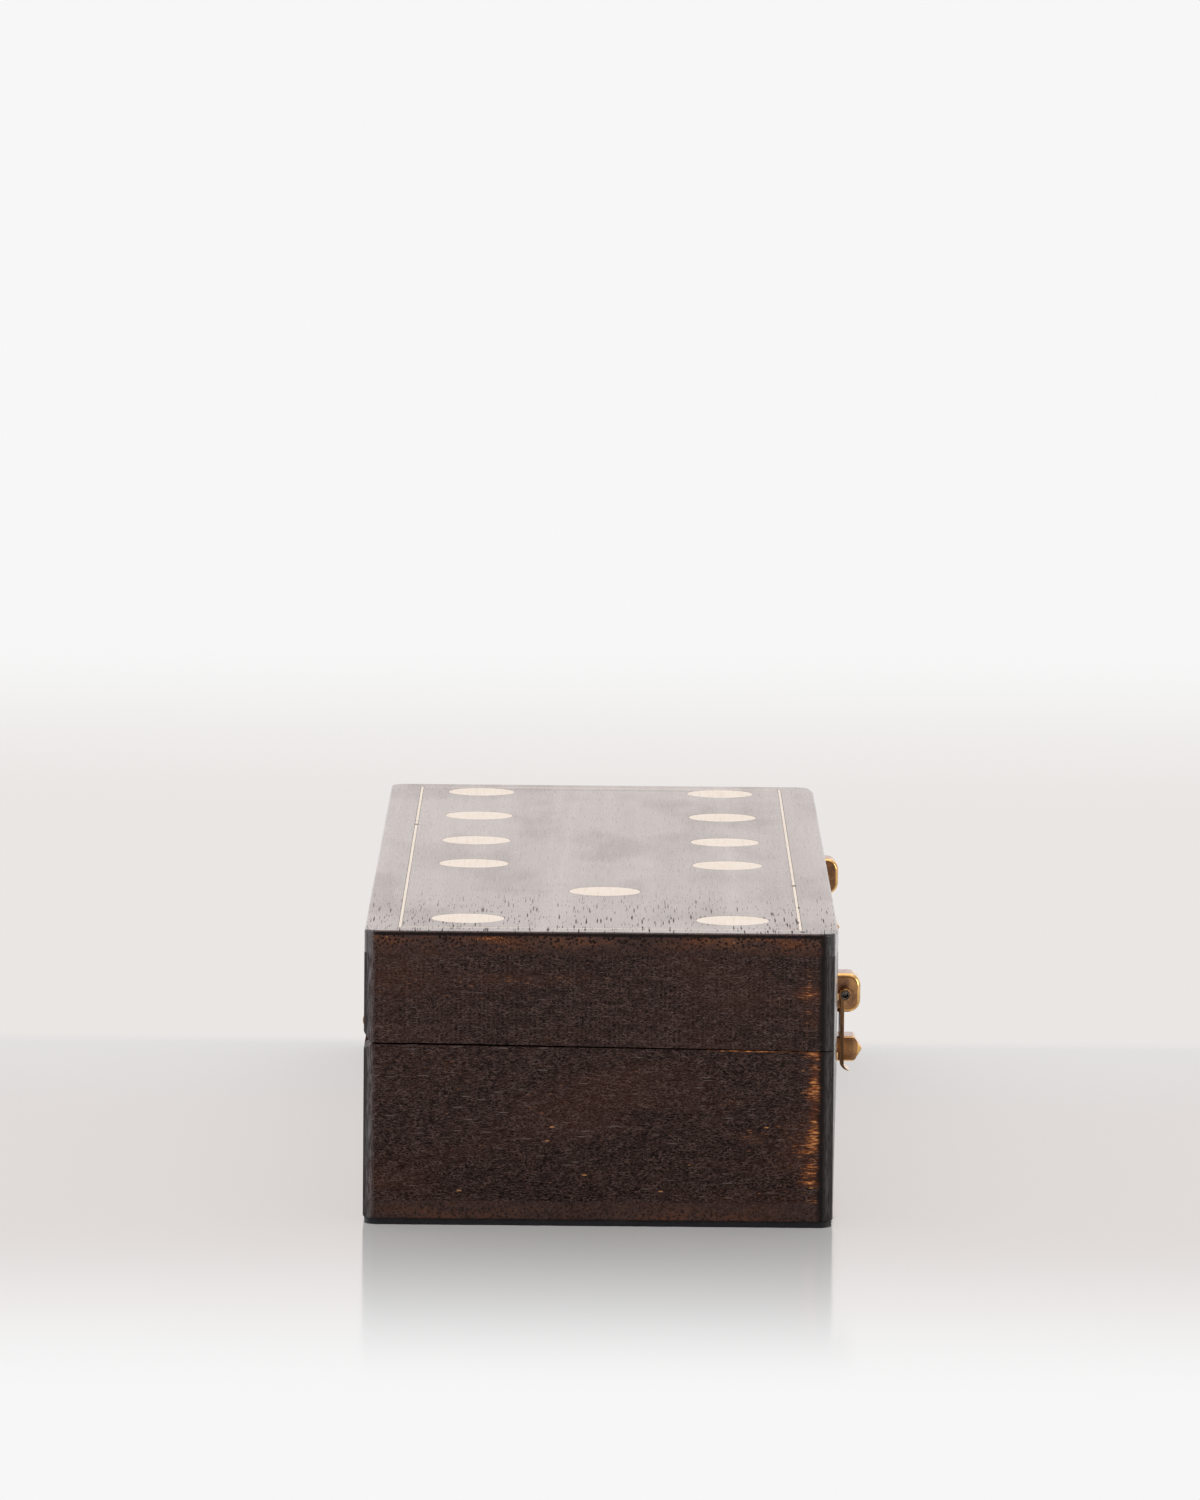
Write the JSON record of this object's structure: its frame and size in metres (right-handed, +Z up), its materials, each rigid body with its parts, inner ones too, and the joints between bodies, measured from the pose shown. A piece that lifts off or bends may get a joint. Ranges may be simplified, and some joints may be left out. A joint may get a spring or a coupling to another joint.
{
  "type": "domino storage box",
  "caption": "Hinged wooden box for a set of dominoes, with an inlaid domino lid, a felt underside and two small swing clasps.",
  "frame": {"origin": "middle of the underside, on the surface that the box stands on", "axes": "+X along the box towards its right end, -Y towards the clasps, +Y towards the hinges, +Z up"},
  "size_m": [0.195, 0.0764, 0.0447],
  "materials": {
    "stained_wood": "dark stain, satin, worn at the edges",
    "pale_inlay": "pale wood inlay, satin",
    "felt": "black felt",
    "aged_brass": "aged, copper-toned, satin",
    "dull_steel": "dull, darkened"
  },
  "bodies": {
    "base": {"base_left_end": "stained_wood", "base_right_end": "stained_wood", "base_front_wall": "stained_wood", "base_back_wall": "stained_wood", "base_bottom": "stained_wood", "base_felt": "felt", "left_hinge_base_leaf": "aged_brass", "right_hinge_base_leaf": "aged_brass", "left_hinge_pin": "dull_steel", "right_hinge_pin": "dull_steel", "base_hinge_screws": "aged_brass", "left_catch_plate": "aged_brass", "right_catch_plate": "aged_brass", "catch_plate_nails": "aged_brass"},
    "lid": {"lid_left_end": "stained_wood", "lid_right_end": "stained_wood", "lid_front_wall": "stained_wood", "lid_back_wall": "stained_wood", "lid_top": "stained_wood", "lid_border_inlay": "pale_inlay", "lid_pips_five": "pale_inlay", "lid_pips_six": "pale_inlay", "left_hinge_lid_leaf": "aged_brass", "right_hinge_lid_leaf": "aged_brass", "lid_hinge_screws": "aged_brass", "left_clasp_plate": "aged_brass", "right_clasp_plate": "aged_brass", "left_clasp_pin": "dull_steel", "right_clasp_pin": "dull_steel", "lid_clasp_nails": "aged_brass"},
    "left_hasp": {"left_hasp": "aged_brass"},
    "right_hasp": {"right_hasp": "aged_brass"}
  },
  "joints": [
    {"name": "lid_hinge", "type": "hinge", "parent": "base", "child": "lid", "pos_m": [0, 0.0347, 0.02755], "axis": [-1, 0, 0], "range_deg": [0, 95]},
    {"name": "left_hasp_swing", "type": "hinge", "parent": "lid", "child": "left_hasp", "pos_m": [-0.0725, -0.0374, 0.03285], "axis": [-1, 0, 0], "range_deg": [0, 180]},
    {"name": "right_hasp_swing", "type": "hinge", "parent": "lid", "child": "right_hasp", "pos_m": [0.0725, -0.0374, 0.03285], "axis": [-1, 0, 0], "range_deg": [0, 180]}
  ]
}
